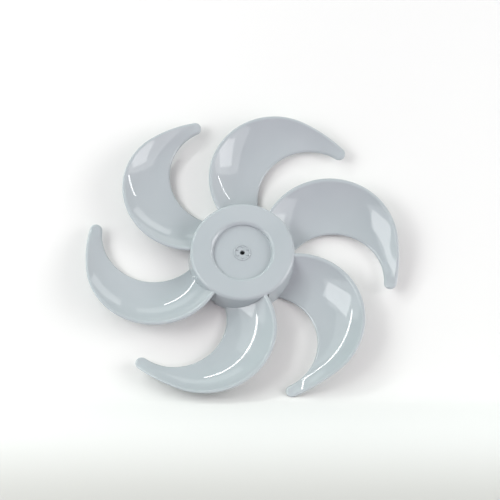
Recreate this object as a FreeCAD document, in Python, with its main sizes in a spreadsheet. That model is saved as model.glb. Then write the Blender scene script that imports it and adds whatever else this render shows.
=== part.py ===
"""Six-bladed impeller of a pedestal fan, moulded as one piece, lying on the back rim of its hub."""
import FreeCAD
import Part
import Sketcher
import math
import os

from FreeCAD import Placement, Rotation, Vector

NODE = "fan_blade"

# Driving dimensions in millimetres and degrees.
# Angles on the plan run clockwise from +Y, the way the impeller turns when it is seen from the front.
SIZES = [
    ("overall_diameter", 350.0, "across the blade tips"),
    ("blade_count", 6, "blades round the hub"),
    ("hub_depth", 28.5, "back rim to front face"),
    ("hub_front_diameter", 116.0, "skirt at the front face"),
    ("hub_back_diameter", 121.6, "skirt at the back rim"),
    ("hub_edge_radius", 3.5, "rounding of the front edge"),
    ("skirt_wall", 3.0, "thickness of the skirt"),
    ("front_wall", 3.0, "thickness of the front"),
    ("recess_diameter", 66.0, "front recess at the front face, before its lip is rounded"),
    ("recess_lean", 1.0, "how far the recess wall leans in towards the floor"),
    ("recess_depth", 4.2, "front face to recess floor"),
    ("recess_lip_radius", 4.2, "rounding of the recess lip"),
    ("recess_foot_radius", 0.6, "rounding of the recess floor"),
    ("relief_depth", 1.8, "set-back of the skirt behind each blade"),
    ("relief_reach", 4.5, "set-back past the trailing edge"),
    ("boss_diameter", 19.0, "shaft boss"),
    ("boss_setback", 6.0, "back rim to the end of the boss"),
    ("shaft_diameter", 8.0, "bore for the motor shaft"),
    ("shaft_floor", 4.5, "recess floor to the end of the shaft bore"),
    ("screw_diameter", 5.4, "hole at the front of the bore"),
    ("pin_slot_width", 4.2, "slot for the drive pin"),
    ("pin_slot_depth", 6.0, "slot for the drive pin"),
    ("rib_count", 6, "ribs behind the front"),
    ("rib_thickness", 1.8, "ribs behind the front"),
    ("rib_setback", 13.0, "back rim to the ribs"),
    ("rib_angle", 46.0, "first rib from +X, anticlockwise"),
    ("gate_ring_diameter", 19.0, "raised ring round the front hole"),
    ("gate_ring_width", 1.3, "raised ring round the front hole"),
    ("gate_ring_height", 0.8, "raised ring above the recess floor"),
    ("gate_count", 6, "gate marks inside the ring"),
    ("gate_circle_diameter", 13.0, "circle of the gate marks"),
    ("gate_diameter", 1.9, "one gate mark"),
    ("gate_height", 1.4, "one gate mark"),
    ("gate_angle", 32.0, "first gate mark from +X, anticlockwise"),
    ("blade_thickness", 3.2, "sheet of the blade"),
    ("camber_radius_root", 110.0, "hollow of the blade at the hub"),
    ("camber_radius", 86.0, "hollow of the blade outside the hub"),
    ("trail_radius", 75.5, "arc of the trailing edge"),
    ("trail_meet_angle", 23.0, "where that arc runs into the outer circle"),
    ("lead_root_angle", 20.5, "where the leading edge leaves the hub"),
    ("lead_turn", 19.05, "at that root, from the line to the tip round to the centre of the leading arc"),
    ("tip_radius", 7.0, "rounding of the tip"),
    ("tip_angle", 40.2, "direction of the centre of the tip rounding"),
    ("trail_height_root", 26.0, "trailing edge above the back rim"),
    ("trail_height_inner", 29.0, "the same, a quarter along"),
    ("trail_height_middle", 29.7, "the same, half along"),
    ("trail_height_outer", 25.8, "the same, three quarters along"),
    ("trail_height_tip", 13.0, "the same, where the tip rounding starts"),
    ("lead_height_root", 2.2, "leading edge above the back rim"),
    ("lead_height_inner", 6.0, "the same, a quarter along"),
    ("lead_height_middle", 8.6, "the same, half along"),
    ("lead_height_outer", 10.1, "the same, three quarters along"),
    ("lead_height_tip", 11.2, "the same, where the tip rounding starts"),
]

STATIONS = ["root", "inner", "middle", "outer", "tip"]
SECTION_COUNT = 9

# The edges of the sheet are rounded in three equal flats.
EDGE_FLATS = 3
FLAT_ANGLE = math.pi / EDGE_FLATS
EDGE_REACH = math.cos(FLAT_ANGLE / 2)


def make_sheet(doc):
    """The spreadsheet of driving dimensions, with an alias for each."""
    sheet = doc.addObject("Spreadsheet::Sheet", "Sizes")
    for row, (alias, value, note) in enumerate(SIZES, start=1):
        sheet.set(f"A{row}", alias)
        sheet.set(f"B{row}", str(value))
        sheet.setAlias(f"B{row}", alias)
        sheet.set(f"C{row}", note)
    doc.recompute()
    return sheet


def origin_feature(body, role):
    """An origin plane or axis of the body, found by its role."""
    return next(item for item in body.Origin.OriginFeatures if item.Role == role)


def new_sketch(body, name, role, offset=Placement()):
    """A sketch on one of the body's own origin planes, shifted and turned by the offset."""
    sketch = body.newObject("Sketcher::SketchObject", name)
    sketch.AttachmentSupport = [(origin_feature(body, role), "")]
    sketch.MapMode = "FlatFace"
    sketch.AttachmentOffset = offset
    return sketch


def bind(sketch, constraint, name, expression):
    """Add a constraint with a name and tie its value to an expression on the sheet."""
    index = sketch.addConstraint(constraint)
    sketch.renameConstraint(index, name)
    sketch.setExpression(f"Constraints.{name}", expression)


def bind_point(sketch, curve, end, name, across, up):
    """Tie one point of a curve to two expressions, or to an axis where the expression is 0."""
    point = sketch.getPoint(curve, end)
    if across == "0":
        sketch.addConstraint(Sketcher.Constraint("PointOnObject", curve, end, -2))
    else:
        bind(sketch, Sketcher.Constraint("DistanceX", -1, 1, curve, end, point.x), f"{name}_across", across)
    if up == "0":
        sketch.addConstraint(Sketcher.Constraint("PointOnObject", curve, end, -1))
    else:
        bind(sketch, Sketcher.Constraint("DistanceY", -1, 1, curve, end, point.y), f"{name}_up", up)


def draw_outline(sheet, sketch, corners):
    """A closed outline of straight lines whose corners are pairs of expressions on the sheet."""
    points = [Vector(float(sheet.evalExpression(a)), float(sheet.evalExpression(b)), 0) for a, b in corners]
    count = len(points)
    for i in range(count):
        sketch.addGeometry(Part.LineSegment(points[i], points[(i + 1) % count]), False)
    for i in range(count):
        sketch.addConstraint(Sketcher.Constraint("Coincident", i, 2, (i + 1) % count, 1))
    for i, (across, up) in enumerate(corners):
        bind_point(sketch, i, 1, f"corner{i}", across, up)


def turned(angle, across=0.0, along=0.0):
    """Offset of a sketch on the XZ plane to an upright plane through a plan point, at an angle from +X."""
    return Placement(Vector(across, 0, -along), Rotation(Vector(0, 1, 0), angle))


def revolve(body, kind, name, sketch):
    """A full turn of a sketch about the impeller's axis, added or cut."""
    feature = body.newObject(f"PartDesign::{kind}", name)
    feature.Profile = sketch
    feature.ReferenceAxis = (sketch, ["V_Axis"])
    feature.Angle = 360
    return feature


def repeat(body, name, features, count):
    """Repeat features round the impeller's axis."""
    pattern = body.newObject("PartDesign::PolarPattern", name)
    pattern.Originals = features
    pattern.Axis = (origin_feature(body, "Z_Axis"), [""])
    pattern.Angle = 360
    pattern.setExpression("Occurrences", f"Sizes.{count}")
    body.Tip = pattern
    return pattern


def circle_edges(shape, radius, height):
    """Names of the full circles round the axis with this radius and height."""
    names = []
    for i, edge in enumerate(shape.Edges, start=1):
        if isinstance(edge.Curve, Part.Circle):
            same_radius = abs(edge.Curve.Radius - radius) < 0.01
            same_height = abs(edge.Curve.Center.z - height) < 0.01
            if same_radius and same_height:
                names.append(f"Edge{i}")
    return names


def round_edge(doc, body, name, radius, height, size):
    """Round one circular edge of the hub."""
    base = body.Tip
    fillet = body.newObject("PartDesign::Fillet", name)
    fillet.Base = (base, circle_edges(base.Shape, radius, height))
    fillet.setExpression("Radius", f"Sizes.{size}")
    doc.recompute()


class BladePlan:
    """The blade seen from the front: centre lines of its rounded edges, worked out from the sheet."""

    def __init__(self, size):
        reach = size("blade_thickness") / 2 * EDGE_REACH
        self.start = (size("hub_front_diameter") - size("skirt_wall") - size("relief_depth")) / 2
        self.outer = size("overall_diameter") / 2 - reach
        self.tip = size("tip_radius") - reach
        self.trail = size("trail_radius")
        self.meet = size("trail_meet_angle")
        self.trail_centre = polar(self.outer - self.trail, self.meet)
        self.tip_turn = size("tip_angle")
        self.tip_centre = polar(self.outer - self.tip, self.tip_turn)
        self.trail_root = self.find_trail_root()
        self.lead_root = polar(self.start, size("lead_root_angle"))
        self.lead, self.lead_centre = self.leading_arc(size("lead_turn"))
        self.lead_end = self.tip_centre + (self.lead_centre - self.tip_centre).normalize() * self.tip
        self.trail_end = polar(self.outer, self.tip_turn)

    def find_trail_root(self):
        """Where the trailing arc meets the circle on which the blade starts, inside the skirt."""
        reach = self.trail_centre.Length
        along = (self.start**2 - self.trail**2 + reach**2) / (2 * reach)
        return polar(self.start, self.meet - math.degrees(math.acos(along / self.start)))

    def leading_arc(self, turn):
        """Radius and centre of the arc that leaves the leading root and ends on the tip rounding."""
        to_tip = self.tip_centre - self.lead_root
        reach = to_tip.Length
        radius = (reach**2 - self.tip**2) / (2 * (reach * math.cos(math.radians(turn)) + self.tip))
        return radius, self.lead_root + polar(radius, clock(to_tip) + turn)

    def trail_point(self, share):
        """Point of the trailing edge at a share of its length: its own arc, then the outer circle."""
        first = clock(self.trail_root - self.trail_centre)
        arc = self.trail * math.radians((self.meet - first) % 360)
        rim = self.outer * math.radians(self.tip_turn - self.meet)
        done = share * (arc + rim)
        if done < arc:
            return self.trail_centre + polar(self.trail, first + math.degrees(done / self.trail))
        return polar(self.outer, self.meet + math.degrees((done - arc) / self.outer))

    def lead_point(self, share):
        """Point of the leading edge at a share of its length, along one arc."""
        first = clock(self.lead_root - self.lead_centre)
        last = clock(self.lead_end - self.lead_centre)
        return self.lead_centre + polar(self.lead, first + share * ((last - first) % 360))


def polar(radius, angle):
    """Plan point at a radius and an angle clockwise from +Y."""
    return Vector(radius * math.sin(math.radians(angle)), radius * math.cos(math.radians(angle)), 0)


def clock(vector):
    """Angle of a plan vector, clockwise from +Y."""
    return math.degrees(math.atan2(vector.x, vector.y))


def camber_centre(lead, trail, radius):
    """Centre of the hollow above a section, from the middles of its two rounded edges."""
    chord = trail - lead
    up = Vector(-chord.y, chord.x, 0).normalize()
    return (lead + trail) * 0.5 + up * math.sqrt(radius**2 - (chord.Length / 2)**2)


def arc(centre, radius, start, end):
    """Arc of a circle in a sketch, from one angle to another."""
    return Part.ArcOfCircle(Part.Circle(centre, Vector(0, 0, 1), radius), start, end)


def section_plane(trail, lead):
    """Offset of the vertical plane through two plan points, and their distance."""
    chord = trail - lead
    return turned(math.degrees(math.atan2(chord.y, chord.x)), lead.x, lead.y), chord.Length


def edge_height(size, edge, share):
    """Height of an edge at a share of its length: the smooth curve through its five stations."""
    last = len(STATIONS) - 1
    height = 0.0
    for i, station in enumerate(STATIONS):
        weight = 1.0
        for j in range(len(STATIONS)):
            if j != i:
                weight *= (share * last - j) / (i - j)
        height += weight * size(f"{edge}_height_{station}")
    return height


def draw_flats(sketch, round_edge, centre, half, start):
    """Three equal flats on a half round, from its start to its end; the half round is left as a guide."""
    points = []
    for i in range(EDGE_FLATS + 1):
        angle = start + i * FLAT_ANGLE
        points.append(centre + Vector(math.cos(angle), math.sin(angle), 0) * half)
    flats = []
    for i in range(EDGE_FLATS):
        flats.append(sketch.addGeometry(Part.LineSegment(points[i], points[i + 1]), False))
    sketch.toggleConstruction(round_edge)
    sketch.addConstraint(Sketcher.Constraint("Coincident", flats[0], 1, round_edge, 1))
    sketch.addConstraint(Sketcher.Constraint("Coincident", flats[-1], 2, round_edge, 2))
    for before, after in zip(flats, flats[1:]):
        sketch.addConstraint(Sketcher.Constraint("Coincident", before, 2, after, 1))
        sketch.addConstraint(Sketcher.Constraint("PointOnObject", before, 2, round_edge))
        sketch.addConstraint(Sketcher.Constraint("Equal", before, after))


def draw_section(sketch, size, width, share):
    """One section of the blade: a hollow sheet with two rounded edges."""
    half = size("blade_thickness") / 2
    camber = "camber_radius" if share > 0 else "camber_radius_root"
    radius = size(camber)
    lead = Vector(0, edge_height(size, "lead", share), 0)
    trail = Vector(width, edge_height(size, "trail", share), 0)
    centre = camber_centre(lead, trail, radius)
    first = math.atan2(lead.y - centre.y, lead.x - centre.x)
    last = math.atan2(trail.y - centre.y, trail.x - centre.x)
    back = sketch.addGeometry(arc(centre, radius + half, first, last), False)
    trail_edge = sketch.addGeometry(arc(trail, half, last, last + math.pi), False)
    front = sketch.addGeometry(arc(centre, radius - half, first, last), False)
    lead_edge = sketch.addGeometry(arc(lead, half, first + math.pi, first + 2 * math.pi), False)
    sketch.addConstraint(Sketcher.Constraint("Tangent", back, 2, trail_edge, 1))
    sketch.addConstraint(Sketcher.Constraint("Tangent", trail_edge, 2, front, 2))
    sketch.addConstraint(Sketcher.Constraint("Tangent", front, 1, lead_edge, 1))
    sketch.addConstraint(Sketcher.Constraint("Tangent", lead_edge, 2, back, 1))
    sketch.addConstraint(Sketcher.Constraint("Equal", trail_edge, lead_edge))
    edge_radius = "Sizes.blade_thickness / 2"
    bind(sketch, Sketcher.Constraint("Radius", lead_edge, half), "edge_radius", edge_radius)
    front_radius = f"Sizes.{camber} - {edge_radius}"
    bind(sketch, Sketcher.Constraint("Radius", front, radius - half), "front_radius", front_radius)
    back_radius = f"Sizes.{camber} + {edge_radius}"
    bind(sketch, Sketcher.Constraint("Radius", back, radius + half), "back_radius", back_radius)
    sketch.addConstraint(Sketcher.Constraint("PointOnObject", lead_edge, 3, -2))
    sketch.addConstraint(Sketcher.Constraint("DistanceY", -1, 1, lead_edge, 3, lead.y))
    sketch.addConstraint(Sketcher.Constraint("DistanceX", -1, 1, trail_edge, 3, width))
    sketch.addConstraint(Sketcher.Constraint("DistanceY", -1, 1, trail_edge, 3, trail.y))
    draw_flats(sketch, trail_edge, trail, half, last)
    draw_flats(sketch, lead_edge, lead, half, first + math.pi)


def make_hub_form(doc, sheet, body):
    """The hub as a solid: tapered skirt, flat front ring and round recess."""
    sketch = new_sketch(body, "HubOutline", "XZ_Plane")
    draw_outline(sheet, sketch, [
        ("0", "0"),
        ("Sizes.hub_back_diameter / 2", "0"),
        ("Sizes.hub_front_diameter / 2", "Sizes.hub_depth"),
        ("Sizes.recess_diameter / 2", "Sizes.hub_depth"),
        ("Sizes.recess_diameter / 2 - Sizes.recess_lean", "Sizes.hub_depth - Sizes.recess_depth"),
        ("0", "Sizes.hub_depth - Sizes.recess_depth"),
    ])
    revolve(body, "Revolution", "HubForm", sketch)
    doc.recompute()


def round_hub(doc, size, body):
    """Round the front edge of the hub and both edges of its recess."""
    front = size("hub_depth")
    floor = front - size("recess_depth")
    lip = size("recess_diameter") / 2
    foot = lip - size("recess_lean")
    round_edge(doc, body, "FrontEdge", size("hub_front_diameter") / 2, front, "hub_edge_radius")
    round_edge(doc, body, "RecessFoot", foot, floor, "recess_foot_radius")
    round_edge(doc, body, "RecessLip", lip, front, "recess_lip_radius")


def cut_reliefs(doc, size, body, plan):
    """Set the skirt back behind every blade, from its root line down to the back rim."""
    offset, width = section_plane(plan.trail_root, plan.lead_root)
    sketch = new_sketch(body, "ReliefOutline", "XZ_Plane", offset)
    lead = Vector(0, size("lead_height_root"), 0)
    trail = Vector(width, size("trail_height_root"), 0)
    step = Vector(width + size("relief_reach"), trail.y, 0)
    centre = camber_centre(lead, trail, size("camber_radius_root"))
    first = math.atan2(lead.y - centre.y, lead.x - centre.x)
    last = math.atan2(trail.y - centre.y, trail.x - centre.x)
    foot = Vector(step.x, 0, 0)
    corner = Vector(0, 0, 0)
    root_line = sketch.addGeometry(arc(centre, size("camber_radius_root"), first, last), False)
    ledge = sketch.addGeometry(Part.LineSegment(trail, step), False)
    side = sketch.addGeometry(Part.LineSegment(step, foot), False)
    rim = sketch.addGeometry(Part.LineSegment(foot, corner), False)
    near = sketch.addGeometry(Part.LineSegment(corner, lead), False)
    sketch.addConstraint(Sketcher.Constraint("Coincident", root_line, 2, ledge, 1))
    sketch.addConstraint(Sketcher.Constraint("Coincident", ledge, 2, side, 1))
    sketch.addConstraint(Sketcher.Constraint("Coincident", side, 2, rim, 1))
    sketch.addConstraint(Sketcher.Constraint("Coincident", rim, 2, near, 1))
    sketch.addConstraint(Sketcher.Constraint("Coincident", near, 2, root_line, 1))
    sketch.addConstraint(Sketcher.Constraint("Horizontal", ledge))
    sketch.addConstraint(Sketcher.Constraint("Vertical", side))
    sketch.addConstraint(Sketcher.Constraint("Horizontal", rim))
    sketch.addConstraint(Sketcher.Constraint("Coincident", near, 1, -1, 1))
    sketch.addConstraint(Sketcher.Constraint("PointOnObject", near, 2, -2))
    low = Sketcher.Constraint("DistanceY", near, 1, near, 2, lead.y)
    bind(sketch, low, "lead_height", "Sizes.lead_height_root")
    high = Sketcher.Constraint("DistanceY", side, 2, side, 1, trail.y)
    bind(sketch, high, "trail_height", "Sizes.trail_height_root")
    hollow = Sketcher.Constraint("Radius", root_line, size("camber_radius_root"))
    bind(sketch, hollow, "camber", "Sizes.camber_radius_root")
    past = Sketcher.Constraint("DistanceX", ledge, 1, ledge, 2, size("relief_reach"))
    bind(sketch, past, "reach", "Sizes.relief_reach")
    sketch.addConstraint(Sketcher.Constraint("DistanceX", -1, 1, ledge, 1, width))
    before = body.Tip.Shape.Volume
    pocket = body.newObject("PartDesign::Pocket", "Relief")
    pocket.Profile = sketch
    pocket.Type = "ThroughAll"
    pocket.Reversed = True
    doc.recompute()
    repeat(body, "Reliefs", [pocket], "blade_count")
    doc.recompute()
    print("cut behind the blades", round(before - body.Tip.Shape.Volume), "mm3")


def make_core(doc, sheet, body):
    """The set-back skirt that shows behind the blades."""
    sketch = new_sketch(body, "CoreOutline", "XZ_Plane")
    inner = "Sizes.recess_diameter / 2 + Sizes.front_wall"
    top = "Sizes.hub_depth - Sizes.front_wall"
    draw_outline(sheet, sketch, [
        (inner, "0"),
        ("Sizes.hub_back_diameter / 2 - Sizes.relief_depth", "0"),
        ("Sizes.hub_front_diameter / 2 - Sizes.relief_depth", top),
        (inner, top),
    ])
    revolve(body, "Revolution", "Core", sketch)
    doc.recompute()


def make_blades(doc, size, body, plan):
    """One blade lofted from root to tip, then repeated round the hub."""
    sections = []
    for i in range(SECTION_COUNT):
        share = i / (SECTION_COUNT - 1)
        offset, width = section_plane(plan.trail_point(share), plan.lead_point(share))
        sketch = new_sketch(body, f"BladeSection{i}", "XZ_Plane", offset)
        draw_section(sketch, size, width, share)
        sections.append(sketch)
    doc.recompute()
    loft = body.newObject("PartDesign::AdditiveLoft", "Blade")
    loft.Profile = sections[0]
    loft.Sections = sections[1:]
    doc.recompute()
    tip = make_tip(doc, size, body, plan)
    repeat(body, "Blades", [loft, tip], "blade_count")
    doc.recompute()


def make_tip(doc, size, body, plan):
    """The round end of the blade: half of its last section, turned about the middle of that section."""
    offset, width = section_plane(plan.trail_end, plan.lead_end)
    sketch = new_sketch(body, "TipOutline", "XZ_Plane", offset)
    half = size("blade_thickness") / 2
    radius = size("camber_radius")
    lead = Vector(0, size("lead_height_tip"), 0)
    trail = Vector(width, size("trail_height_tip"), 0)
    centre = camber_centre(lead, trail, radius)
    middle = (lead + trail) * 0.5
    down = (middle - centre).normalize()
    first = math.atan2(down.y, down.x)
    last = math.atan2(trail.y - centre.y, trail.x - centre.x)
    back_middle = centre + down * (radius + half)
    front_middle = centre + down * (radius - half)
    axis = sketch.addGeometry(Part.LineSegment(front_middle, back_middle), False)
    back = sketch.addGeometry(arc(centre, radius + half, first, last), False)
    front = sketch.addGeometry(arc(centre, radius - half, first, last), False)
    edge = sketch.addGeometry(arc(trail, half, last, last + math.pi), False)
    sketch.addConstraint(Sketcher.Constraint("Tangent", back, 2, edge, 1))
    sketch.addConstraint(Sketcher.Constraint("Tangent", edge, 2, front, 2))
    sketch.addConstraint(Sketcher.Constraint("Coincident", front, 1, axis, 1))
    sketch.addConstraint(Sketcher.Constraint("Coincident", axis, 2, back, 1))
    draw_flats(sketch, edge, trail, half, last)
    doc.recompute()
    tip = body.newObject("PartDesign::Revolution", "Tip")
    tip.Profile = sketch
    tip.ReferenceAxis = (sketch, ["Edge1"])
    tip.Angle = 180
    doc.recompute()
    return tip


def hollow_hub(doc, sheet, body):
    """Hollow the hub from behind, leaving the skirt, the front and the shaft boss."""
    sketch = new_sketch(body, "HollowOutline", "XZ_Plane")
    boss = "Sizes.boss_diameter / 2"
    floor = "Sizes.hub_depth - Sizes.recess_depth - Sizes.front_wall"
    top = "Sizes.hub_depth - Sizes.front_wall"
    draw_outline(sheet, sketch, [
        ("0", "0"),
        ("Sizes.hub_back_diameter / 2 - Sizes.skirt_wall", "0"),
        ("Sizes.hub_front_diameter / 2 - Sizes.skirt_wall", top),
        ("Sizes.recess_diameter / 2 + Sizes.front_wall", top),
        ("Sizes.recess_diameter / 2 - Sizes.recess_lean + Sizes.front_wall", floor),
        (boss, floor),
        (boss, "Sizes.boss_setback"),
        ("0", "Sizes.boss_setback"),
    ])
    before = body.Tip.Shape.Volume
    revolve(body, "Groove", "Hollow", sketch)
    doc.recompute()
    print("hollowed", round(before - body.Tip.Shape.Volume), "mm3")


def make_ribs(doc, sheet, size, body):
    """Radial ribs behind the front, from the boss to the skirt."""
    sketch = new_sketch(body, "RibOutline", "XZ_Plane", turned(size("rib_angle")))
    sketch.setExpression("AttachmentOffset.Rotation.Angle", "Sizes.rib_angle")
    inner = "Sizes.boss_diameter / 2 - Sizes.rib_thickness / 2"
    outer = "(Sizes.hub_front_diameter - Sizes.skirt_wall - Sizes.relief_depth) / 2"
    bend = "Sizes.recess_diameter / 2 + Sizes.front_wall"
    foot = f"{bend} - Sizes.recess_lean"
    floor = "Sizes.hub_depth - Sizes.recess_depth - Sizes.front_wall / 2"
    top = "Sizes.hub_depth - Sizes.front_wall / 2"
    draw_outline(sheet, sketch, [
        (inner, "Sizes.rib_setback"),
        (outer, "Sizes.rib_setback"),
        (outer, "Sizes.hub_depth - Sizes.front_wall"),
        (bend, top),
        (foot, floor),
        (inner, floor),
    ])
    rib = body.newObject("PartDesign::Pad", "Rib")
    rib.Profile = sketch
    rib.Midplane = True
    rib.setExpression("Length", "Sizes.rib_thickness")
    doc.recompute()
    repeat(body, "Ribs", [rib], "rib_count")
    doc.recompute()


def cut_bore(doc, sheet, body):
    """The shaft bore from behind, with the smaller hole through the front."""
    sketch = new_sketch(body, "BoreOutline", "XZ_Plane")
    step = "Sizes.hub_depth - Sizes.recess_depth - Sizes.shaft_floor"
    draw_outline(sheet, sketch, [
        ("0", "0"),
        ("Sizes.shaft_diameter / 2", "0"),
        ("Sizes.shaft_diameter / 2", step),
        ("Sizes.screw_diameter / 2", step),
        ("Sizes.screw_diameter / 2", "Sizes.hub_depth"),
        ("0", "Sizes.hub_depth"),
    ])
    before = body.Tip.Shape.Volume
    revolve(body, "Groove", "Bore", sketch)
    doc.recompute()
    print("bored", round(before - body.Tip.Shape.Volume), "mm3")


def cut_pin_slot(doc, sheet, body):
    """The slot across the end of the boss for the shaft's drive pin."""
    sketch = new_sketch(body, "PinSlotOutline", "XZ_Plane")
    draw_outline(sheet, sketch, [
        ("-Sizes.pin_slot_width / 2", "Sizes.boss_setback"),
        ("Sizes.pin_slot_width / 2", "Sizes.boss_setback"),
        ("Sizes.pin_slot_width / 2", "Sizes.boss_setback + Sizes.pin_slot_depth"),
        ("-Sizes.pin_slot_width / 2", "Sizes.boss_setback + Sizes.pin_slot_depth"),
    ])
    before = body.Tip.Shape.Volume
    slot = body.newObject("PartDesign::Pocket", "PinSlot")
    slot.Profile = sketch
    slot.Midplane = True
    slot.setExpression("Length", "Sizes.boss_diameter + Sizes.rib_thickness")
    doc.recompute()
    print("slotted", round(before - body.Tip.Shape.Volume), "mm3")


def make_gate_marks(doc, sheet, size, body):
    """The thin raised ring round the front hole and the gate marks inside it."""
    floor = "Sizes.hub_depth - Sizes.recess_depth"
    ring = new_sketch(body, "GateRingOutline", "XZ_Plane")
    draw_outline(sheet, ring, [
        ("Sizes.gate_ring_diameter / 2 - Sizes.gate_ring_width", f"{floor} - Sizes.front_wall / 2"),
        ("Sizes.gate_ring_diameter / 2", f"{floor} - Sizes.front_wall / 2"),
        ("Sizes.gate_ring_diameter / 2", f"{floor} + Sizes.gate_ring_height"),
        ("Sizes.gate_ring_diameter / 2 - Sizes.gate_ring_width", f"{floor} + Sizes.gate_ring_height"),
    ])
    revolve(body, "Revolution", "GateRing", ring)
    doc.recompute()
    offset = Placement(Vector(0, 0, size("hub_depth") - size("recess_depth")), Rotation())
    mark = new_sketch(body, "GateMarkOutline", "XY_Plane", offset)
    mark.setExpression("AttachmentOffset.Base.z", floor)
    centre = polar(size("gate_circle_diameter") / 2, 90 - size("gate_angle"))
    mark.addGeometry(Part.Circle(centre, Vector(0, 0, 1), size("gate_diameter") / 2), False)
    turn = "Sizes.gate_angle * 1 deg"
    bind(mark, Sketcher.Constraint("Diameter", 0, size("gate_diameter")), "across", "Sizes.gate_diameter")
    circle = "Sizes.gate_circle_diameter / 2"
    bind_point(mark, 0, 3, "centre", f"{circle} * cos({turn})", f"{circle} * sin({turn})")
    pad = body.newObject("PartDesign::Pad", "GateMark")
    pad.Profile = mark
    pad.setExpression("Length", "Sizes.gate_height")
    doc.recompute()
    repeat(body, "GateMarks", [pad], "gate_count")
    doc.recompute()


def check(doc, body):
    """Stop with a clear message if a feature failed or the solid is not sound."""
    for item in doc.Objects:
        if "Invalid" in item.State or "Error" in item.State:
            raise RuntimeError(f"{item.Name} failed: {item.State}")
    shape = body.Shape
    if shape.isNull() or not shape.isValid() or len(shape.Solids) != 1:
        raise RuntimeError(f"{body.Label} is not one sound solid")


def main():
    doc = FreeCAD.newDocument("FanBlade")
    sheet = make_sheet(doc)

    def size(name):
        return float(sheet.get(name))

    plan = BladePlan(size)
    body = doc.addObject("PartDesign::Body", "FanBlade")
    body.Label = NODE
    make_hub_form(doc, sheet, body)
    round_hub(doc, size, body)
    cut_reliefs(doc, size, body, plan)
    make_core(doc, sheet, body)
    make_blades(doc, size, body, plan)
    hollow_hub(doc, sheet, body)
    make_ribs(doc, sheet, size, body)
    cut_bore(doc, sheet, body)
    cut_pin_slot(doc, sheet, body)
    make_gate_marks(doc, sheet, size, body)
    body.Placement = Placement()
    doc.recompute()
    check(doc, body)
    os.makedirs("parts", exist_ok=True)
    body.Shape.exportStep(f"parts/{body.Label}.step")
    box = body.Shape.BoundBox
    print(body.Label, round(body.Shape.Volume), "mm3, box", box)


main()
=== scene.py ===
# %% [markdown]
# A six-bladed fan impeller, moulded in one piece of glossy pale plastic.
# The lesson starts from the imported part: its frame gives the place and the size,
# and a smoother model of the same moulding is made over it.

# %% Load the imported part
import math

import bmesh
import bpy
from mathutils import Euler, Matrix, Vector


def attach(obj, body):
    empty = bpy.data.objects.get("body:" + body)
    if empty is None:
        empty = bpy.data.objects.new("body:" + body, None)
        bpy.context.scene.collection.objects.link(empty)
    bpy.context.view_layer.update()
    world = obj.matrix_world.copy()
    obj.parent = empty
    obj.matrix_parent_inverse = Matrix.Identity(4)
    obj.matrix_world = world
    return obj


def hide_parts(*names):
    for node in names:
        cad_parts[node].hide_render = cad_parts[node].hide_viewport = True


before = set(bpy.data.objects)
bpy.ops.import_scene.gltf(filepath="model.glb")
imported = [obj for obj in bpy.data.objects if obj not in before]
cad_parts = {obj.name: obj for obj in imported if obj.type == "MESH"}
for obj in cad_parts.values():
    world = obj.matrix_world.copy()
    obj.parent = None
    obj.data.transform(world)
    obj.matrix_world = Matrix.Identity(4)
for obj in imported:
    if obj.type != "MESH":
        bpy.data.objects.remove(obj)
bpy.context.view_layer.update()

# %% [markdown]
# Everything is drawn in millimetres, because a moulding is dimensioned in them,
# and the finished mesh is brought to metres once, at the end.
# Angles on the plan run clockwise from +Y, the way the impeller turns.

# %% Measures of the moulding
MM = 0.001
BLADES = 6
HUB_DEPTH = 28.5
HUB_FRONT = 116.0 / 2
HUB_BACK = 121.6 / 2
SKIRT_WALL = 3.0
FRONT_WALL = 3.0
RELIEF_DEPTH = 1.8
RECESS = 71.6 / 2
RECESS_STEP = 66.2 / 2
RECESS_FLOOR = 65.2 / 2
STEP_DEPTH = 2.0
RECESS_DEPTH = 5.0
STEP_HEIGHT = HUB_DEPTH - STEP_DEPTH
FLOOR_HEIGHT = HUB_DEPTH - RECESS_DEPTH
# how far a cutting or joining solid runs past the surface that it meets
OVERRUN = 1.0


def polar(radius, angle):
    """Plan point at a radius and an angle clockwise from +Y."""
    turned = math.radians(angle)
    return Vector((radius * math.sin(turned), radius * math.cos(turned)))


def clock(vector):
    """Angle of a plan vector, clockwise from +Y."""
    return math.degrees(math.atan2(vector.x, vector.y))


def build(name, bm):
    """An object in the scene from a finished bmesh."""
    bmesh.ops.recalc_face_normals(bm, faces=bm.faces)
    mesh = bpy.data.meshes.new(name)
    bm.to_mesh(mesh)
    bm.free()
    made = bpy.data.objects.new(name, mesh)
    bpy.context.scene.collection.objects.link(made)
    print(name, len(mesh.vertices), "vertices")
    return made


print("hub", 2 * HUB_FRONT, "mm across the front and", HUB_DEPTH, "mm deep")

# %% [markdown]
# The hub is a turned form. A wire profile in the XZ plane is spun about the axis,
# and the circles that are rounded on the real moulding are bevelled afterwards.
# A spin keeps every ring a true circle, which a box model could not.

# %% The hub as a solid cup
HUB_STEPS = 240
HUB_ROUND = 3.2
LIP_ROUND = 1.2
STEP_ROUND = 0.6
FOOT_ROUND = 0.35
RIM_ROUND = 0.4
SPIN_MERGE = 0.001
ON_CIRCLE = 0.01


def spun(profile, steps=HUB_STEPS):
    """A solid of revolution from pairs of radius and height."""
    bm = bmesh.new()
    verts = [bm.verts.new((radius, 0, height)) for radius, height in profile]
    edges = [bm.edges.new(pair) for pair in zip(verts, verts[1:])]
    bmesh.ops.spin(bm, geom=verts + edges, cent=(0, 0, 0), axis=(0, 0, 1), angle=2 * math.pi,
                   steps=steps, use_merge=True)
    bmesh.ops.remove_doubles(bm, verts=bm.verts, dist=SPIN_MERGE)
    bmesh.ops.recalc_face_normals(bm, faces=bm.faces)
    return bm


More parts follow.
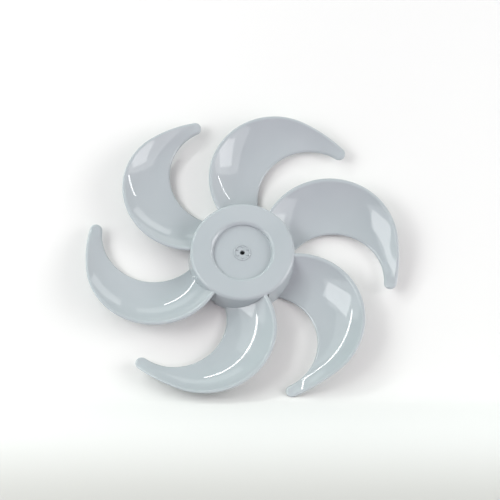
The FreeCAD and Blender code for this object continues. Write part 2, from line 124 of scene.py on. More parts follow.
def round_circle(bm, radius, height, width, segments):
    """Bevel the circle of edges at a radius and a height."""
    def on_circle(vert):
        level = abs(vert.co.z - height) < ON_CIRCLE
        return level and abs(vert.co.xy.length - radius) < ON_CIRCLE

    edges = [edge for edge in bm.edges if all(on_circle(vert) for vert in edge.verts)]
    bmesh.ops.bevel(bm, geom=edges, offset=width, offset_type="OFFSET", segments=segments,
                    profile=0.5, affect="EDGES", material=-1)


hub_form = spun([
    (0, 0),
    (HUB_BACK, 0),
    (HUB_FRONT, HUB_DEPTH),
    (RECESS, HUB_DEPTH),
    (RECESS_STEP, STEP_HEIGHT),
    (RECESS_FLOOR, FLOOR_HEIGHT),
    (0, FLOOR_HEIGHT),
])
round_circle(hub_form, HUB_FRONT, HUB_DEPTH, HUB_ROUND, segments=8)
round_circle(hub_form, RECESS_FLOOR, FLOOR_HEIGHT, FOOT_ROUND, segments=4)
round_circle(hub_form, RECESS_STEP, STEP_HEIGHT, STEP_ROUND, segments=4)
round_circle(hub_form, RECESS, HUB_DEPTH, LIP_ROUND, segments=6)
round_circle(hub_form, HUB_BACK, 0, RIM_ROUND, segments=2)
impeller = build("impeller", hub_form)

# %% [markdown]
# Each blade is a crescent on the plan: a long convex trailing edge that carries the outer circle,
# a hollow leading edge, and a round tip. The two edges rise and fall along their length,
# which gives the blade its pitch. These functions give both edges for a share of the way out.

# %% Plan of one blade
BLADE_START = HUB_FRONT - (SKIRT_WALL + RELIEF_DEPTH) / 2
EDGE_REACH = 1.3
OUTER = 350.0 / 2 - EDGE_REACH
TIP = 7.0 - EDGE_REACH
TRAIL_RADIUS = 75.5
TRAIL_MEET = 23.0
TIP_ANGLE = 40.2
LEAD_ROOT_ANGLE = 20.5
LEAD_TURN = 19.05
TRAIL_HEIGHTS = (26.0, 29.0, 29.7, 25.8, 13.0)
LEAD_HEIGHTS = (2.2, 6.0, 8.6, 10.1, 11.2)

trail_centre = polar(OUTER - TRAIL_RADIUS, TRAIL_MEET)
trail_reach = trail_centre.length
trail_along = (BLADE_START**2 - TRAIL_RADIUS**2 + trail_reach**2) / (2 * trail_reach)
trail_back = math.degrees(math.acos(trail_along / BLADE_START))
trail_root = polar(BLADE_START, TRAIL_MEET - trail_back)
tip_centre = polar(OUTER - TIP, TIP_ANGLE)
lead_root = polar(BLADE_START, LEAD_ROOT_ANGLE)
root_to_tip = tip_centre - lead_root
lead_drop = root_to_tip.length * math.cos(math.radians(LEAD_TURN)) + TIP
lead_radius = (root_to_tip.length**2 - TIP**2) / (2 * lead_drop)
lead_centre = lead_root + polar(lead_radius, clock(root_to_tip) + LEAD_TURN)
lead_end = tip_centre + (lead_centre - tip_centre).normalized() * TIP


def trail_point(share):
    """Plan point of the trailing edge: its own arc, then the outer circle."""
    first = clock(trail_root - trail_centre)
    own = TRAIL_RADIUS * math.radians((TRAIL_MEET - first) % 360)
    rim = OUTER * math.radians(TIP_ANGLE - TRAIL_MEET)
    done = share * (own + rim)
    if done < own:
        return trail_centre + polar(TRAIL_RADIUS, first + math.degrees(done / TRAIL_RADIUS))
    return polar(OUTER, TRAIL_MEET + math.degrees((done - own) / OUTER))


def lead_point(share):
    """Plan point of the leading edge, along one arc."""
    first = clock(lead_root - lead_centre)
    last = clock(lead_end - lead_centre)
    return lead_centre + polar(lead_radius, first + share * ((last - first) % 360))


def curve_through(heights, share):
    """The smooth curve through evenly spaced heights."""
    last = len(heights) - 1
    total = 0.0
    for i, height in enumerate(heights):
        weight = 1.0
        for j in range(len(heights)):
            if j != i:
                weight *= (share * last - j) / (i - j)
        total += weight * height
    return total


print("leading arc", round(lead_radius, 1), "mm, trailing arc", TRAIL_RADIUS, "mm")

# %% [markdown]
# Across the blade the sheet follows an arc, hollow towards the front. At its edges the front
# rolls over in a narrow band, which catches the light as the pale line that outlines every blade.
# The sheet is thickest at the trailing edge beside the hub, and it thins out towards
# the leading edge and the tip. A bevel is as deep as it is wide, and this band is wider than deep,
# so one section is drawn as a closed loop of points.

# %% Edge of the sheet
TRAIL_HALF = 3.7 / 2
LEAD_HALF = 2.4 / 2
TIP_HALF = 2.6 / 2
CORNER = 0.4
CORNER_STEPS = 2
TRAIL_ROLL = 3.0
LEAD_ROLL = 1.5
TIP_ROLL = 2.6
ROLL_STEPS = 8
ROLL_SLOPE = 0.45
ROLL_DROP = 1.1
ROLL_START = 0.25


def edge_profile(half, roll):
    """Offsets round an edge from the back to the front.

    Each is a pair: out along the sheet, and towards the back through its thickness.
    """
    offsets = []
    for i in range(CORNER_STEPS + 1):
        turned = math.pi / 2 * i / CORNER_STEPS
        offsets.append((EDGE_REACH - CORNER + CORNER * math.sin(turned),
                        half - CORNER + CORNER * math.cos(turned)))
    for i in range(ROLL_STEPS, -1, -1):
        share = math.sin(math.pi / 2 * i / ROLL_STEPS)
        fall = ROLL_SLOPE * share + (1 - ROLL_SLOPE) * (1 - math.sqrt(1 - share * share))
        offsets.append((EDGE_REACH - roll * (1 - share), half * (ROLL_DROP * fall - 1)))
    return offsets + [(EDGE_REACH - roll - ROLL_START, -half)]


print("trailing edge drawn with", len(edge_profile(TRAIL_HALF, TRAIL_ROLL)), "points")

# %% One section of the blade
CAMBER_ROOT = 110.0
CAMBER = 86.0
ROOT_SHARE = 0.125
ACROSS = 40


def camber_at(share):
    """Radius of the hollow, flatter inside the hub."""
    left = max(0.0, 1 - share / ROOT_SHARE)
    return CAMBER + (CAMBER_ROOT - CAMBER) * left * left


class Section:
    """The sheet cut by the upright plane through both edges."""

    def __init__(self, share):
        self.lead = lead_point(share)
        trail = trail_point(share)
        width = (trail - self.lead).length
        self.along = (trail - self.lead) / width
        low = Vector((0, curve_through(LEAD_HEIGHTS, share)))
        high = Vector((width, curve_through(TRAIL_HEIGHTS, share)))
        chord = high - low
        self.radius = camber_at(share)
        lift = math.sqrt(self.radius**2 - (chord.length / 2)**2)
        self.centre = (low + high) / 2 + Vector((-chord.y, chord.x)).normalized() * lift
        self.first = math.atan2(low.y - self.centre.y, low.x - self.centre.x)
        self.last = math.atan2(high.y - self.centre.y, high.x - self.centre.x)
        fade = share * share * (3 - 2 * share)
        self.lead_half = LEAD_HALF + (TIP_HALF - LEAD_HALF) * fade
        self.trail_half = TRAIL_HALF + (TIP_HALF - TRAIL_HALF) * fade
        self.lead_roll = LEAD_ROLL + (TIP_ROLL - LEAD_ROLL) * fade
        self.trail_roll = TRAIL_ROLL + (TIP_ROLL - TRAIL_ROLL) * fade

    def at(self, angle, through, out=0.0):
        """Point at an angle on the hollow, then offset through and along the sheet."""
        ray = Vector((math.cos(angle), math.sin(angle)))
        flat = self.centre + ray * (self.radius + through) + Vector((-ray.y, ray.x)) * out
        return Vector((*(self.lead + self.along * flat.x), flat.y))

    def face(self, side, first_step, last_step):
        """Points across the back (side 1) or the front (side -1), from the leading edge."""
        low, high = self.first, self.last
        if side < 0:
            low += (self.lead_roll + ROLL_START - EDGE_REACH) / self.radius
            high -= (self.trail_roll + ROLL_START - EDGE_REACH) / self.radius
        points = []
        for i in range(first_step, last_step + 1):
            angle = low + (high - low) * i / ACROSS
            share = (angle - self.first) / (self.last - self.first)
            half = self.lead_half + (self.trail_half - self.lead_half) * share
            points.append(self.at(angle, side * half))
        return points

    def trailing_edge(self):
        """Round the trailing edge from the back to the front."""
        offsets = edge_profile(self.trail_half, self.trail_roll)
        return [self.at(self.last, through, out) for out, through in offsets]

    def leading_edge(self):
        """Round the leading edge from the front to the back."""
        offsets = edge_profile(self.lead_half, self.lead_roll)
        return [self.at(self.first, through, -out) for out, through in reversed(offsets)]

    def ring(self):
        """The closed loop: back, trailing edge, front, leading edge."""
        back = self.face(1, 1, ACROSS - 1)
        front = self.face(-1, 1, ACROSS - 1)
        return back + self.trailing_edge() + front[::-1] + self.leading_edge()

    def half(self):
        """From the middle of the back round the trailing edge to the middle of the front."""
        back = self.face(1, ACROSS // 2, ACROSS - 1)
        front = self.face(-1, ACROSS // 2, ACROSS - 1)
        return back + self.trailing_edge() + front[::-1]


print("one section has", len(Section(0).ring()), "points")

# %% [markdown]
# The blade is that loop extruded from ring to ring. Bridging separate loops would do it too,
# but an extrusion keeps each point beside its neighbour, so the gloss runs on without a twist.
# The tip is half a section turned about the middle of the sheet,
# and a spin with duplicates makes all six blades from one.

# %% One blade
RINGS = 84


def verts_in(geom):
    """The vertices among what an operator returned."""
    return [item for item in geom if isinstance(item, bmesh.types.BMVert)]


blade = bmesh.new()
ring = [blade.verts.new(point) for point in Section(0).ring()]
edges = [blade.edges.new((ring[i - 1], ring[i])) for i in range(len(ring))]
blade.faces.new(ring)
for step in range(1, RINGS + 1):
    grown = bmesh.ops.extrude_edge_only(blade, edges=edges)["geom"]
    fresh = set(verts_in(grown))
    ring = [next(e.other_vert(v) for e in v.link_edges if e.other_vert(v) in fresh) for v in ring]
    for vert, point in zip(ring, Section(step / RINGS).ring()):
        vert.co = point
    edges = [blade.edges.get((ring[i - 1], ring[i])) for i in range(len(ring))]
print("blade without its tip", len(blade.verts), "vertices")

# %% Round tip
TIP_STEPS = 28
TIP_MERGE = 0.005

tip_section = Section(1)
profile = tip_section.half()
axis = (profile[0] - profile[-1]).normalized()
middle = (profile[0] + profile[-1]) / 2
trail_side = tip_section.at(tip_section.last, 0) - middle
before_tip = Section(1 - 1 / RINGS)
outwards = middle - before_tip.at((before_tip.first + before_tip.last) / 2, 0)
half_turn = math.copysign(math.pi, axis.cross(trail_side).dot(outwards))
verts = [blade.verts.new(point) for point in profile]
wire = [blade.edges.new(pair) for pair in zip(verts, verts[1:])]
bmesh.ops.spin(blade, geom=verts + wire, cent=middle, axis=axis, angle=half_turn, steps=TIP_STEPS)
bmesh.ops.remove_doubles(blade, verts=blade.verts, dist=TIP_MERGE)
print("blade with its tip", len(blade.verts), "vertices")


# %% All six blades
def repeat_round(bm):
    """Repeat all that is in a bmesh round the axis, once for each blade."""
    geom = bm.verts[:] + bm.edges[:] + bm.faces[:]
    bmesh.ops.spin(bm, geom=geom, cent=(0, 0, 0), axis=(0, 0, 1),
                   angle=2 * math.pi * (BLADES - 1) / BLADES, steps=BLADES - 1,
                   use_duplicate=True)


repeat_round(blade)
open_edges = [edge for edge in blade.edges if not edge.is_manifold]
print("open edges of the blades", len(open_edges))
blades = build("blades", blade)

# %% [markdown]
# Behind each blade the skirt of the hub is set back a little, where the two halves of the mould
# part. A prism under the root line of the blade cuts it, a thin bar chamfers the step that is left,
# and a slightly smaller core fills the cup again.

# %% Set-backs
RELIEF_REACH = 4.5
RELIEF_STEPS = 24
CUT_LENGTH = 25.0


def prism(outline, along):
    """A flat outline, extruded along a vector."""
    bm = bmesh.new()
    face = bm.faces.new([bm.verts.new(point) for point in outline])
    grown = bmesh.ops.extrude_face_region(bm, geom=[face])["geom"]
    bmesh.ops.translate(bm, verts=verts_in(grown), vec=along)
    return bm


root = Section(0)
root_line = [root.at(root.first + (root.last - root.first) * i / RELIEF_STEPS, 0)
             for i in range(RELIEF_STEPS + 1)]
lead_corner, trail_corner = root_line[0], root.at(root.last, 0)
foot_lead = Vector((*lead_corner.xy, -OVERRUN))
foot_trail = Vector((*root_line[-1].xy, -OVERRUN))
past = Vector((*(root.along * RELIEF_REACH), 0))
outside = Vector((*(trail_root + lead_root).normalized(), 0))
relief = prism(root_line + [root_line[-1] + past, foot_trail + past, foot_lead],
               outside * CUT_LENGTH)
repeat_round(relief)
reliefs = build("reliefs", relief)

# %% Chamfered steps
STEP_CHAMFER = 0.8


def on_skirt(point, direction, height):
    """Where a level line from a plan point meets the tapered skirt."""
    radius = HUB_BACK + (HUB_FRONT - HUB_BACK) * height / HUB_DEPTH
    along = point.dot(direction)
    reach = -along + math.sqrt(along**2 - point.length_squared + radius**2)
    return Vector((*(point + direction * reach), height))


step_corner = trail_corner.xy + past.xy
low, high = [on_skirt(step_corner, outside.xy, height) for height in (-OVERRUN, trail_corner.z)]
upright = (high - low).normalized()
sideways = (past.normalized() + outside).normalized()
basis = Matrix((sideways, upright.cross(sideways), upright)).transposed()
bar = bmesh.new()
bmesh.ops.create_cube(bar, size=1)
bmesh.ops.scale(bar, vec=(STEP_CHAMFER, STEP_CHAMFER, (high - low).length), verts=bar.verts)
bmesh.ops.transform(bar, matrix=Matrix.Translation((low + high) / 2) @ basis.to_4x4(),
                    verts=bar.verts)
repeat_round(bar)
step_bars = build("step_bars", bar)

# %% Core
core = build("core", spun([
    (0, 0),
    (HUB_BACK - RELIEF_DEPTH, 0),
    (HUB_FRONT - RELIEF_DEPTH, HUB_DEPTH - HUB_ROUND),
    (HUB_FRONT - HUB_ROUND, HUB_DEPTH - FRONT_WALL / 2),
    (RECESS, HUB_DEPTH - FRONT_WALL / 2),
    (RECESS_FLOOR, FLOOR_HEIGHT - FRONT_WALL / 2),
    (0, FLOOR_HEIGHT - FRONT_WALL / 2),
]))


# %% [markdown]
# The moulding is one piece, so the parts are united and cut as solids, in the order in which
# a pattern maker would work: cup, set-backs, blades, then the hollow, ribs and bore behind.

# %% Unite and cut
def combine(target, tool, operation):
    """Unite or cut with another solid, keep the result in the target and drop the tool."""
    step = target.modifiers.new(operation, "BOOLEAN")
    step.operation = operation
    step.solver = "EXACT"
    step.object = tool
    seen = target.evaluated_get(bpy.context.evaluated_depsgraph_get())
    made = bpy.data.meshes.new_from_object(seen)
    target.modifiers.clear()
    old = target.data
    target.data = made
    bpy.data.meshes.remove(old)
    print(operation.lower(), tool.name, "gives", len(made.polygons), "faces")
    bpy.data.meshes.remove(tool.data)


combine(impeller, reliefs, "DIFFERENCE")
combine(impeller, step_bars, "DIFFERENCE")
combine(impeller, core, "UNION")
combine(impeller, blades, "UNION")

# %% [markdown]
# From behind, the hub is a thin cup with a boss for the motor shaft in the middle.
# Six ribs tie the boss to the skirt, and a slot across the boss takes the shaft's drive pin.
# The hollow and the bore are turned, so they are spun and cut out.

# %% Hollow
BOSS = 19.0 / 2
BOSS_SETBACK = 6.0

hollow = build("hollow", spun([
    (0, -OVERRUN),
    (HUB_BACK - SKIRT_WALL, -OVERRUN),
    (HUB_BACK - SKIRT_WALL, 0),
    (HUB_FRONT - SKIRT_WALL, HUB_DEPTH - FRONT_WALL),
    (RECESS, HUB_DEPTH - FRONT_WALL),
    (RECESS_FLOOR, FLOOR_HEIGHT - FRONT_WALL),
    (BOSS, FLOOR_HEIGHT - FRONT_WALL),
    (BOSS, BOSS_SETBACK),
    (0, BOSS_SETBACK),
]))
combine(impeller, hollow, "DIFFERENCE")

# %% Ribs
RIB_ANGLE = 46.0
RIB_HALF = 1.8 / 2
RIB_SETBACK = 13.0

to_rib = Matrix.Rotation(math.radians(RIB_ANGLE), 3, "Z")
rib = prism([(radius, -RIB_HALF, height) for radius, height in (
    (BOSS - RIB_HALF, RIB_SETBACK),
    (BLADE_START, RIB_SETBACK),
    (BLADE_START, HUB_DEPTH - FRONT_WALL),
    (RECESS, HUB_DEPTH - FRONT_WALL / 2),
    (RECESS_FLOOR, FLOOR_HEIGHT - FRONT_WALL / 2),
    (BOSS - RIB_HALF, FLOOR_HEIGHT - FRONT_WALL / 2),
)], (0, 2 * RIB_HALF, 0))
bmesh.ops.rotate(rib, verts=rib.verts, cent=(0, 0, 0), matrix=to_rib)
repeat_round(rib)
combine(impeller, build("ribs", rib), "UNION")

# %% Bore and pin slot
SHAFT = 8.0 / 2
SHAFT_FLOOR = 4.5
SCREW = 5.4 / 2
BORE_STEPS = 48
PIN_SLOT_WIDTH = 4.2
PIN_SLOT_LENGTH = 21.0
PIN_SLOT_DEPTH = 6.0

bore = build("bore", spun([
    (0, -OVERRUN),
    (SHAFT, -OVERRUN),
    (SHAFT, FLOOR_HEIGHT - SHAFT_FLOOR),
    (SCREW, FLOOR_HEIGHT - SHAFT_FLOOR),
    (SCREW, HUB_DEPTH),
    (0, HUB_DEPTH),
], steps=BORE_STEPS))
combine(impeller, bore, "DIFFERENCE")

slot = bmesh.new()
bmesh.ops.create_cube(slot, size=1)
bmesh.ops.scale(slot, vec=(PIN_SLOT_WIDTH, PIN_SLOT_LENGTH, 2 * PIN_SLOT_DEPTH), verts=slot.verts)
bmesh.ops.translate(slot, vec=(0, 0, BOSS_SETBACK), verts=slot.verts)
combine(impeller, build("pin_slot", slot), "DIFFERENCE")

# %% [markdown]
# The plastic was fed into the mould at the middle of the front.
# It leaves a thin raised ring round the hole and six small round gate marks inside it.
# They are modelled, not painted, because their edges catch the light.

# %% Gate ring
GATE_RING = 19.0 / 2
GATE_RING_WIDTH = 1.3
GATE_RING_HEIGHT = 0.8
GATE_RING_ROUND = 0.3
GATE_RING_STEPS = 96
GATE_RING_INNER = GATE_RING - GATE_RING_WIDTH
GATE_RING_TOP = FLOOR_HEIGHT + GATE_RING_HEIGHT

gate_ring = spun([
    (GATE_RING_INNER, FLOOR_HEIGHT - OVERRUN),
    (GATE_RING, FLOOR_HEIGHT - OVERRUN),
    (GATE_RING, GATE_RING_TOP),
    (GATE_RING_INNER, GATE_RING_TOP),
    (GATE_RING_INNER, FLOOR_HEIGHT - OVERRUN),
], steps=GATE_RING_STEPS)
round_circle(gate_ring, GATE_RING, GATE_RING_TOP, GATE_RING_ROUND, segments=3)
round_circle(gate_ring, GATE_RING_INNER, GATE_RING_TOP, GATE_RING_ROUND, segments=3)
combine(impeller, build("gate_ring", gate_ring), "UNION")

# %% Gate marks
GATE_CIRCLE = 13.0 / 2
GATE_ANGLE = 32.0
GATE = 1.9 / 2
GATE_TAPER = 0.85
GATE_HEIGHT = 1.4
GATE_ROUND = 0.5
GATE_STEPS = 24

marks = bmesh.new()
bmesh.ops.create_cone(marks, cap_ends=True, segments=GATE_STEPS, radius1=GATE,
                      radius2=GATE * GATE_TAPER, depth=GATE_HEIGHT + OVERRUN)
crown = [edge for edge in marks.edges if all(vert.co.z > 0 for vert in edge.verts)]
bmesh.ops.bevel(marks, geom=crown, offset=GATE_ROUND, offset_type="OFFSET", segments=4,
                profile=0.5, affect="EDGES", material=-1)
spot = polar(GATE_CIRCLE, 90 - GATE_ANGLE)
bmesh.ops.translate(marks, vec=(spot.x, spot.y, FLOOR_HEIGHT + (GATE_HEIGHT - OVERRUN) / 2),
                    verts=marks.verts)
repeat_round(marks)
combine(impeller, build("gate_marks", marks), "UNION")

# %% [markdown]
# Where the ribs stand behind the floor of the recess, the skin has sunk by a hair as it cooled.
# Six shallow grooves over the ribs show as faint lines.

# %% Sink lines
SINK_START = 11.0
SINK_END = 30.0
SINK_HALF = 0.9
SINK_DEPTH = 0.12

sinks = prism([(SINK_START, across, FLOOR_HEIGHT + up) for across, up in (
    (-SINK_HALF, SINK_DEPTH),
    (SINK_HALF, SINK_DEPTH),
    (0, -SINK_DEPTH),
)], (SINK_END - SINK_START, 0, 0))
bmesh.ops.rotate(sinks, verts=sinks.verts, cent=(0, 0, 0), matrix=to_rib)
repeat_round(sinks)
combine(impeller, build("sink_lines", sinks), "DIFFERENCE")

# %% [markdown]
# The finished mesh is brought to metres and shaded smooth, with sharp edges only where two faces
# meet at a real corner. Weighted normals keep the flat ring flat beside its rounded edges.

# %% Finish the moulding
SHARP = math.radians(32)
CLEAN_MERGE = 0.002

finished = bmesh.new()
finished.from_mesh(impeller.data)
bmesh.ops.remove_doubles(finished, verts=finished.verts, dist=CLEAN_MERGE)
bmesh.ops.dissolve_degenerate(finished, edges=finished.edges, dist=CLEAN_MERGE)
bmesh.ops.scale(finished, vec=(MM, MM, MM), verts=finished.verts)
bmesh.ops.recalc_face_normals(finished, faces=finished.faces)
open_edges = [edge for edge in finished.edges if not edge.is_manifold]
finished.to_mesh(impeller.data)
finished.free()
impeller.data.shade_smooth()
impeller.data.set_sharp_from_angle(angle=SHARP)
even = impeller.modifiers.new("even_normals", "WEIGHTED_NORMAL")
even.keep_sharp = True
impeller.data.calc_loop_triangles()
print("impeller", len(impeller.data.loop_triangles), "triangles,", len(open_edges), "open edges")

# %% [markdown]
# Materials are small trees of nodes. Colours are noted as sRGB hex codes, as a designer would,
# and one function makes them linear for the shader. Another adds a node and joins it to the tree.


# %% Helpers for materials
def linear(code):
    """Linear colour from an sRGB hex code."""
    parts = [int(code[i:i + 2], 16) / 255 for i in (0, 2, 4)]
    return tuple(p / 12.92 if p <= 0.04045 else ((p + 0.055) / 1.055)**2.4
                 for p in parts) + (1.0,)


def add(tree, kind, links=None, **settings):
    """Add a node, set its properties and input values, and link its inputs to other sockets."""
    node = tree.nodes.new(kind)
    for key, value in settings.items():
        setattr(node, key, value)
    for key, source in (links or {}).items():
        if isinstance(source, bpy.types.NodeSocket):
            tree.links.new(source, node.inputs[key])
        else:
            node.inputs[key].default_value = source
    return node


def new_material(name):
    """An empty node material and its tree."""
    material = bpy.data.materials.new(name)
    material.use_nodes = True
    material.node_tree.nodes.clear()
    return material, material.node_tree


# %% [markdown]
# The plastic is polypropylene, moulded against a polished steel mould. It gives an even, slightly
# cool grey with a clear gloss, and very slow changes in shade where the melt cooled at different
# rates. A picture of the surface could be wrapped on, but noise in space needs no seams.

# %% Moulded polypropylene
CLOUD_MM = 60.0
CLOUD_LOW = 0.3
CLOUD_HIGH = 0.7
GLOSS_SMOOTH = 0.045
GLOSS_DULL = 0.06
RIPPLE_MM = 9.0
RIPPLE_STRENGTH = 0.02
RIPPLE_HEIGHT = 0.1 * MM
PLASTIC_IOR = 1.49

plastic, tree = new_material("polypropylene_moulded_gloss")
place = add(tree, "ShaderNodeTexCoord").outputs["Object"]
clouds = add(tree, "ShaderNodeTexNoise", {
    "Vector": place,
    "Scale": 1 / (CLOUD_MM * MM),
    "Detail": 2.0,
})
tint = add(tree, "ShaderNodeValToRGB", {"Fac": clouds.outputs["Fac"]})
tint.color_ramp.elements[0].color = linear("ADB5B8")
tint.color_ramp.elements[0].position = CLOUD_LOW
tint.color_ramp.elements[1].color = linear("B2B9BC")
tint.color_ramp.elements[1].position = CLOUD_HIGH
gloss = add(tree, "ShaderNodeMapRange", {
    "Value": clouds.outputs["Fac"],
    "From Min": CLOUD_LOW,
    "From Max": CLOUD_HIGH,
    "To Min": GLOSS_SMOOTH,
    "To Max": GLOSS_DULL,
})
ripples = add(tree, "ShaderNodeTexNoise", {
    "Vector": place,
    "Scale": 1 / (RIPPLE_MM * MM),
    "Detail": 1.0,
})
skin = add(tree, "ShaderNodeBump", {
    "Height": ripples.outputs["Fac"],
    "Strength": RIPPLE_STRENGTH,
    "Distance": RIPPLE_HEIGHT,
})
shader = add(tree, "ShaderNodeBsdfPrincipled", {
    "Base Color": tint.outputs["Color"],
    "Roughness": gloss.outputs["Result"],
    "Normal": skin.outputs["Normal"],
    "IOR": PLASTIC_IOR,
})
add(tree, "ShaderNodeOutputMaterial", {"Surface": shader.outputs["BSDF"]})
impeller.data.materials.clear()
impeller.data.materials.append(plastic)
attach(impeller, "root")
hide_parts("fan_blade")
print(impeller.name, "is made of", plastic.name)

# %% [markdown]
# The camera looks down on the part at the angle of the photograph, from far off with a long lens,
# so the far blades are hardly smaller than the near ones.

# %% Camera
LENS_PX = 2140.0
FRAME_PX = 500
SENSOR = 36.0
CAMERA_MM = (8.5, 12.0, 2410.0)
CAMERA_TILT = (-22.681, -0.338, -0.589)

tilt = Euler([math.radians(angle) for angle in CAMERA_TILT], "XYZ")
turn = tilt.to_matrix().transposed()
lens = bpy.data.cameras.new("camera")
lens.sensor_width = SENSOR
lens.lens = LENS_PX * SENSOR / FRAME_PX
camera = bpy.data.objects.new("camera", lens)
camera.matrix_world = Matrix.Translation(turn @ Vector(CAMERA_MM) * MM) @ turn.to_4x4()
bpy.context.scene.collection.objects.link(camera)
bpy.context.scene.camera = camera
print("camera at", [round(v, 3) for v in camera.matrix_world.translation])

# %% [markdown]
# The part lies on a wide sheet of white paper. In front of the part the sheet rises in a soft fold
# and then rolls away from the light, and a painted shade darkens the paper's colour there,
# which leaves the foreground of the picture a shade darker.

# %% Paper sheet
SHEET_HALF = 4000.0
FOLD_START = -130.0
FOLD_RADIUS = 60.0
RISE_ANGLE = 50.0
RISE_LENGTH = 75.0
CREST_RADIUS = 210.0
CREST_ANGLE = 85.0
BEND_STEPS = 20


def run(points, heading, length):
    """Continue a side view of the sheet in a straight line, at a heading in degrees."""
    rise = math.radians(heading)
    last = points[-1]
    points.append((last[0] - length * math.cos(rise), last[1] + length * math.sin(rise)))


def bend(points, heading, radius, angle):
    """Continue a side view of the sheet round an arc and return the new heading."""
    step = angle / BEND_STEPS
    length = abs(2 * radius * math.sin(math.radians(step / 2)))
    for _ in range(BEND_STEPS):
        run(points, heading + step / 2, length)
        heading += step
    return heading


side_view = [(SHEET_HALF, 0.0), (FOLD_START, 0.0)]
heading = bend(side_view, 0.0, FOLD_RADIUS, RISE_ANGLE)
run(side_view, heading, RISE_LENGTH)
bend(side_view, heading, CREST_RADIUS, -CREST_ANGLE)

sheet = bmesh.new()
verts = [sheet.verts.new((-SHEET_HALF * MM, y * MM, z * MM)) for y, z in side_view]
edges = [sheet.edges.new(pair) for pair in zip(verts, verts[1:])]
grown = bmesh.ops.extrude_edge_only(sheet, edges=edges)["geom"]
bmesh.ops.translate(sheet, verts=verts_in(grown), vec=(2 * SHEET_HALF * MM, 0, 0))
floor = build("floor", sheet)
floor.data.shade_smooth()

# %% [markdown]
# Paper scatters light evenly and shows no gloss, so its surface is rough.
# Its colour is darkened with the distance in front of the part, a painted shade where the sheet
# rolls away from the light.

# %% Matt white paper
SHADE_START = -210.0
SHADE_END = -345.0
PAPER_ROUGHNESS = 0.9

paper, tree = new_material("white_paper_matt")
place = add(tree, "ShaderNodeTexCoord").outputs["Object"]
axes = add(tree, "ShaderNodeSeparateXYZ", {"Vector": place})
# painted shade: the paper's colour falls from E7E7E5 to C4C4BF in front of the part
painted_shade_share = add(tree, "ShaderNodeMapRange", {
    "Value": axes.outputs["Y"],
    "From Min": SHADE_START * MM,
    "From Max": SHADE_END * MM,
})
paper_tone_and_painted_shade = add(tree, "ShaderNodeValToRGB", {"Fac": painted_shade_share.outputs["Result"]})
paper_tone_and_painted_shade.color_ramp.interpolation = "EASE"
paper_tone_and_painted_shade.color_ramp.elements[0].color = linear("E7E7E5")
paper_tone_and_painted_shade.color_ramp.elements[1].color = linear("C4C4BF")
shader = add(tree, "ShaderNodeBsdfPrincipled", {
    "Base Color": paper_tone_and_painted_shade.outputs["Color"],
    "Roughness": PAPER_ROUGHNESS,
})
add(tree, "ShaderNodeOutputMaterial", {"Surface": shader.outputs["BSDF"]})
floor.data.materials.append(paper)
print(floor.name, "is", paper.name)

# %% [markdown]
# The lamps are those of a photo studio. A wide soft panel stands on each side with a brighter field
# in it, a third panel hangs higher on the left, and two bands close the room at the back.
# Two long thin lamps draw the bright lines on the blades.
# Gloss shows lamps as shapes, so their place and width matter more than their power.

# %% Lamps
LAMP_DISTANCE = 1.6


def toward(across, up):
    """World direction at two angles from the line of sight, to the right and up, in degrees."""
    away = math.hypot(across, up)
    lean = math.sin(math.radians(away)) / away
    return (turn @ Vector((across * lean, up * lean, math.cos(math.radians(away))))).normalized()


def lamp(name, start, end, width, radiance):
    """A rectangular lamp that faces the part, its long side between two directions."""
    a, b = toward(*start), toward(*end)
    face = (a + b).normalized()
    first = a * (LAMP_DISTANCE / a.dot(face))
    last = b * (LAMP_DISTANCE / b.dot(face))
    length = (last - first).length
    along = (last - first).normalized()
    made = bpy.data.lights.new(name, "AREA")
    made.shape = "RECTANGLE"
    made.size = length
    made.size_y = 2 * LAMP_DISTANCE * math.tan(math.radians(width / 2))
    made.energy = radiance * math.pi * length * made.size_y
    out = bpy.data.objects.new(name, made)
    basis = Matrix((along, face.cross(along), face)).transposed()
    out.matrix_world = Matrix.Translation(face * LAMP_DISTANCE) @ basis.to_4x4()
    out.visible_camera = False
    bpy.context.scene.collection.objects.link(out)
    print(name, round(length, 2), "m long,", round(made.energy, 1), "W")


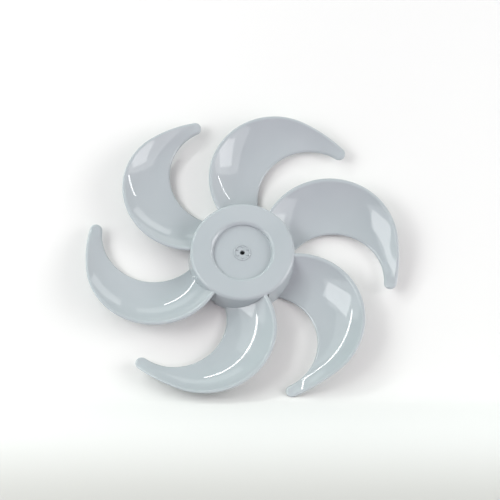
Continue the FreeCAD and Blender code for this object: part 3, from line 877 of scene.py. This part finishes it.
lamp("strip_left", (-61.5, 26), (-12, 87), width=2.2, radiance=19.0)
lamp("strip_right", (72, 36), (59, 58), width=2.0, radiance=15.0)
lamp("field_left", (-50, 4), (-39, 27), width=28, radiance=4.1)
lamp("panel_left", (-54, -8), (-50, 33), width=44, radiance=1.6)
lamp("panel_high", (-48, 33), (-35, 63), width=23, radiance=1.2)
lamp("field_right", (60, -4), (58, 26), width=20, radiance=3.4)
lamp("panel_right", (53, -22), (56, 33), width=42, radiance=1.9)
lamp("band_back", (-45, 82), (10, 99), width=11, radiance=1.2)
lamp("band_right", (25, 94), (62, 74), width=14, radiance=2.0)

# %% [markdown]
# The walls of the room send back an uneven light with a faint tint. Each glow is brightest
# in one direction and fades with a power of the cosine, so it shades the gloss without an edge.

# %% White room
WALLS = (0.01, 0.035, 0.045)
# azimuth and elevation in degrees, power of the fade, linear colour
GLOWS = [
    (0, 5, 6.0, (1.42, 1.30, 1.30)),
    (140, 20, 3.0, (0.42, 0.60, 0.53)),
    (90, 5, 4.0, (0.20, 0.19, 0.18)),
    (-90, 20, 3.0, (0.46, 0.29, 0.42)),
    (0, 90, 4.0, (0.60, 0.53, 0.54)),
]


def glow(tree, view, azimuth, elevation, power, colour):
    """Colour of a soft glow on the walls, brightest in one direction."""
    a, e = math.radians(azimuth), math.radians(elevation)
    middle = (math.cos(a) * math.cos(e), math.sin(a) * math.cos(e), math.sin(e))
    facing = add(tree, "ShaderNodeVectorMath", {0: view, 1: middle}, operation="DOT_PRODUCT")
    ahead = add(tree, "ShaderNodeMath", {0: facing.outputs["Value"], 1: 0.0}, operation="MAXIMUM")
    fade = add(tree, "ShaderNodeMath", {0: ahead.outputs[0], 1: power}, operation="POWER")
    part = add(tree, "ShaderNodeVectorMath", {0: colour, "Scale": fade.outputs[0]},
               operation="SCALE")
    return part.outputs["Vector"]


world = bpy.data.worlds.new("white_room")
bpy.context.scene.world = world
world.use_nodes = True
tree = world.node_tree
tree.nodes.clear()
view = add(tree, "ShaderNodeTexCoord").outputs["Generated"]
total = WALLS
for values in GLOWS:
    sum_so_far = add(tree, "ShaderNodeVectorMath", {0: total, 1: glow(tree, view, *values)},
                     operation="ADD")
    total = sum_so_far.outputs["Vector"]
room = add(tree, "ShaderNodeBackground", {"Color": total, "Strength": 1.0})
add(tree, "ShaderNodeOutputWorld", {"Surface": room.outputs[0]})
print(world.name, "with", len(GLOWS), "glows")

# %% [markdown]
# The Standard view shows the colours as they were chosen.

# %% Colour view
bpy.context.scene.view_settings.view_transform = "Standard"
